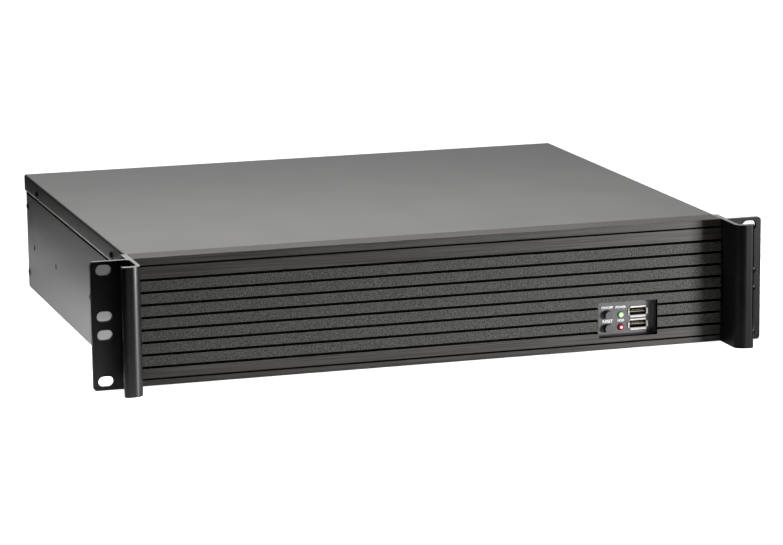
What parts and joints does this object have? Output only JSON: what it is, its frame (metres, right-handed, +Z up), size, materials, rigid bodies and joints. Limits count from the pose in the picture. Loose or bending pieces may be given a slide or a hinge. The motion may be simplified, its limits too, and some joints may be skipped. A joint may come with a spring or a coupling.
{
  "type": "empty rackmount server case",
  "caption": "Flat black rack case with a ribbed front panel, hooked pull handles beside slotted rack ears, a small recessed control panel and a lift-off cover over an empty bay.",
  "frame": {"origin": "middle of the underside, halfway between the front of the handles and the tail of the cover", "axes": "+X to the right seen from the front, +Y from front to back, +Z up"},
  "size_m": [0.4826, 0.3908, 0.088],
  "materials": {
    "black_steel": "fine powder coat on steel sheet",
    "black_aluminium": "black coat on extruded aluminium",
    "grey_plastic": "moulded, matt",
    "button_plastic": "moulded, satin",
    "switch_plastic": "moulded",
    "circuit_board": "green solder mask",
    "green_lamp": "clear tinted resin",
    "red_lamp": "clear tinted resin",
    "bright_shell": "nickel plated",
    "tongue_plastic": "moulded",
    "gilt_contact": "gilt",
    "zinc_steel": "zinc coated sheet",
    "zinc_screw": "zinc plated",
    "black_screw": "blackened steel",
    "brass": "turned hexagon bar"
  },
  "bodies": {
    "chassis": {"chassis_tray": "black_steel", "rear_panel": "black_steel", "front_wall": "black_steel", "front_panel": "black_aluminium", "left_ear_handle": "black_aluminium", "right_ear_handle": "black_aluminium", "control_bezel": "grey_plastic", "control_board": "circuit_board", "power_switch": "switch_plastic", "reset_switch": "switch_plastic", "power_led": "green_lamp", "drive_led": "red_lamp", "upper_usb_shell": "bright_shell", "lower_usb_shell": "bright_shell", "usb_tongues": "tongue_plastic", "usb_contacts": "gilt_contact", "slot_cover_1": "zinc_steel", "slot_cover_2": "zinc_steel", "slot_cover_3": "zinc_steel", "slot_cover_4": "zinc_steel", "slot_cover_shelf": "zinc_steel", "board_standoffs": "brass", "drive_cage": "zinc_steel", "cover_screws": "black_screw", "panel_screws": "zinc_screw", "frame_screws": "zinc_screw", "bezel_screws": "zinc_screw", "control_board_screws": "zinc_screw", "drive_cage_screws": "zinc_screw", "slot_cover_screws": "zinc_screw", "wall_rivets": "black_screw"},
    "cover": {"top_cover": "black_steel"},
    "power_button": {"power_button": "button_plastic", "power_plunger": "button_plastic"},
    "reset_button": {"reset_button": "button_plastic", "reset_plunger": "button_plastic"}
  },
  "joints": [
    {"name": "cover_lift", "type": "slide", "parent": "chassis", "child": "cover", "axis": [0, 0, 1], "range_m": [0, 0.12]},
    {"name": "power_press", "type": "slide", "parent": "chassis", "child": "power_button", "axis": [0, 1, 0], "range_m": [0, 0.001], "stiffness_N_per_m": 800, "springref_m": -0.0005},
    {"name": "reset_press", "type": "slide", "parent": "chassis", "child": "reset_button", "axis": [0, 1, 0], "range_m": [0, 0.001], "stiffness_N_per_m": 800, "springref_m": -0.0005}
  ]
}
